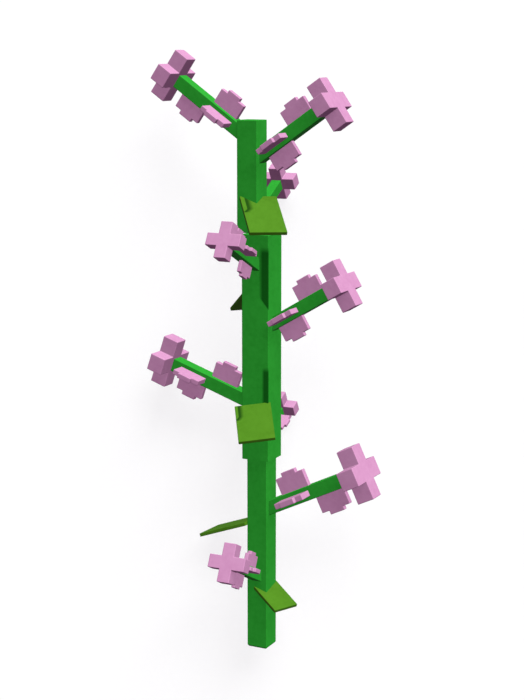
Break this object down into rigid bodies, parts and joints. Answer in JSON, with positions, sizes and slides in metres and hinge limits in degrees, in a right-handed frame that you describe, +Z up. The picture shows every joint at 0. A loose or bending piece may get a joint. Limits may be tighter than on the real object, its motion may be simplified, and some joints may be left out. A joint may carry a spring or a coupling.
{
  "type": "block-style lilac sprig ornament",
  "caption": "Block-style lilac sprig of square bars and plates: green stem with side branches, plus-shaped lilac blossoms, petals and leaves, lying on its side.",
  "frame": {"origin": "middle of the bounding box, on the surface that the sprig lies on", "axes": "+Y along the stem from its cut end to its tip, +Z up, +X to the right as seen from above with the tip away"},
  "size_m": [0.1246, 0.3092, 0.0802],
  "materials": {
    "stem_green": "matte green paint",
    "blossom_pink": "matte lilac pink paint",
    "leaf_olive": "matte olive green paint"
  },
  "bodies": {
    "root": {"blossom_back_lower": "blossom_pink", "blossom_back_upper": "blossom_pink", "blossom_front_lower": "blossom_pink", "blossom_front_upper": "blossom_pink", "blossom_left_middle": "blossom_pink", "blossom_left_top": "blossom_pink", "blossom_right_bottom": "blossom_pink", "blossom_right_middle": "blossom_pink", "blossom_right_top": "blossom_pink", "branch_back_lower": "stem_green", "branch_back_upper": "stem_green", "branch_front_lower": "stem_green", "branch_front_upper": "stem_green", "branch_left_middle": "stem_green", "branch_left_top": "stem_green", "branch_right_bottom": "stem_green", "branch_right_middle": "stem_green", "branch_right_top": "stem_green", "leaf_back": "leaf_olive", "leaf_left": "leaf_olive", "leaf_lower": "leaf_olive", "leaf_middle": "leaf_olive", "leaf_upper": "leaf_olive", "petal_back_lower_right": "blossom_pink", "petal_back_lower_under": "blossom_pink", "petal_back_lower_upper": "blossom_pink", "petal_back_upper_left": "blossom_pink", "petal_back_upper_under": "blossom_pink", "petal_back_upper_upper": "blossom_pink", "petal_front_lower_left": "blossom_pink", "petal_front_lower_under": "blossom_pink", "petal_front_lower_upper": "blossom_pink", "petal_front_upper_left": "blossom_pink", "petal_front_upper_under": "blossom_pink", "petal_front_upper_upper": "blossom_pink", "petal_left_middle_left": "blossom_pink", "petal_left_middle_under": "blossom_pink", "petal_left_middle_upper": "blossom_pink", "petal_left_top_left": "blossom_pink", "petal_left_top_under": "blossom_pink", "petal_left_top_upper": "blossom_pink", "petal_right_bottom_right": "blossom_pink", "petal_right_bottom_under": "blossom_pink", "petal_right_bottom_upper": "blossom_pink", "petal_right_middle_right": "blossom_pink", "petal_right_middle_under": "blossom_pink", "petal_right_middle_upper": "blossom_pink", "petal_right_top_right": "blossom_pink", "petal_right_top_under": "blossom_pink", "petal_right_top_upper": "blossom_pink", "stem_lower": "stem_green", "stem_middle": "stem_green", "stem_upper": "stem_green"}
  },
  "joints": []
}
